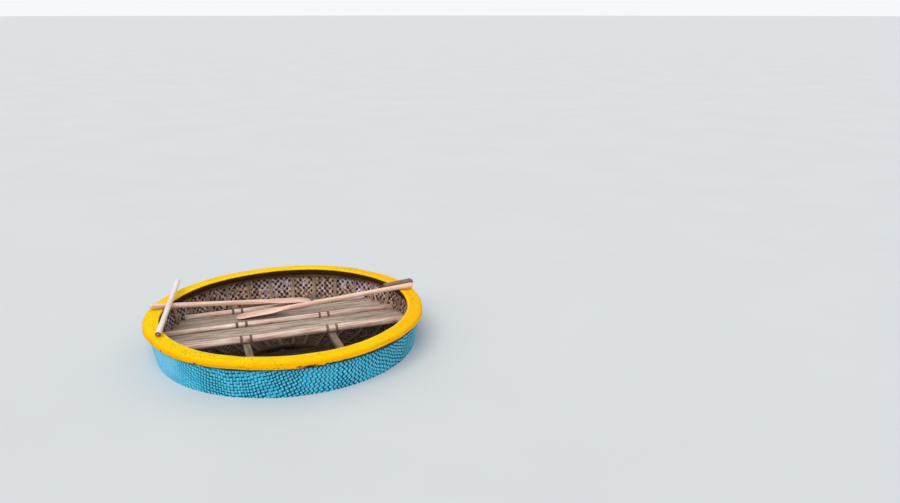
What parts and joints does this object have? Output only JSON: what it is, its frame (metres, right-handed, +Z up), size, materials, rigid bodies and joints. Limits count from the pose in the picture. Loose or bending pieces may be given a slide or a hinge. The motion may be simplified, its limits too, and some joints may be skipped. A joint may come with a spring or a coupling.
{
  "type": "round basket coracle",
  "caption": "Round woven basket boat with a thick painted rim, bent ribs inside, a slatted bench on crossbeams, and paddles laid across it.",
  "frame": {"origin": "on the hull's upright axis, at the loaded waterline", "axes": "+Z up, +X to the right along the bench, -Y towards the open foot space in front of the bench"},
  "size_m": [2.072, 2.0498, 0.6384],
  "materials": {
    "hull_paint": "brushed enamel over woven split bamboo",
    "rim_paint": "thick hand-brushed enamel, scuffed",
    "rib_bamboo": "split bamboo, weathered",
    "hoop_bamboo": "split bamboo, dark with wear",
    "beam_wood": "sawn, weathered",
    "slat_wood": "sawn, weathered grey",
    "pole_wood": "peeled round pole, worn smooth",
    "paddle_wood": "bare pale wood, worn smooth",
    "plank_wood": "dark brown, worn"
  },
  "bodies": {
    "root": {"bench_ledge": "hoop_bamboo", "bench_pole_front": "pole_wood", "bench_pole_middle": "pole_wood", "bench_pole_rear": "pole_wood", "bench_slat_1": "slat_wood", "bench_slat_2": "slat_wood", "bench_slat_3": "slat_wood", "bench_slat_4": "slat_wood", "bench_slat_5": "slat_wood", "bench_slat_6": "slat_wood", "crossbeam_left": "beam_wood", "crossbeam_right": "beam_wood", "floor_hoop": "hoop_bamboo", "floor_slat_1": "slat_wood", "floor_slat_2": "slat_wood", "floor_slat_3": "slat_wood", "floor_slat_4": "slat_wood", "floor_slat_5": "slat_wood", "hull_shell": "hull_paint", "oar_rest": "plank_wood", "paddle_left_blade": "paddle_wood", "paddle_left_shaft": "paddle_wood", "paddle_right_blade": "paddle_wood", "paddle_right_shaft": "paddle_wood", "ribs_long": "rib_bamboo", "ribs_short": "rib_bamboo", "rim": "rim_paint", "spare_pole": "pole_wood", "upper_hoop": "hoop_bamboo"}
  },
  "joints": []
}
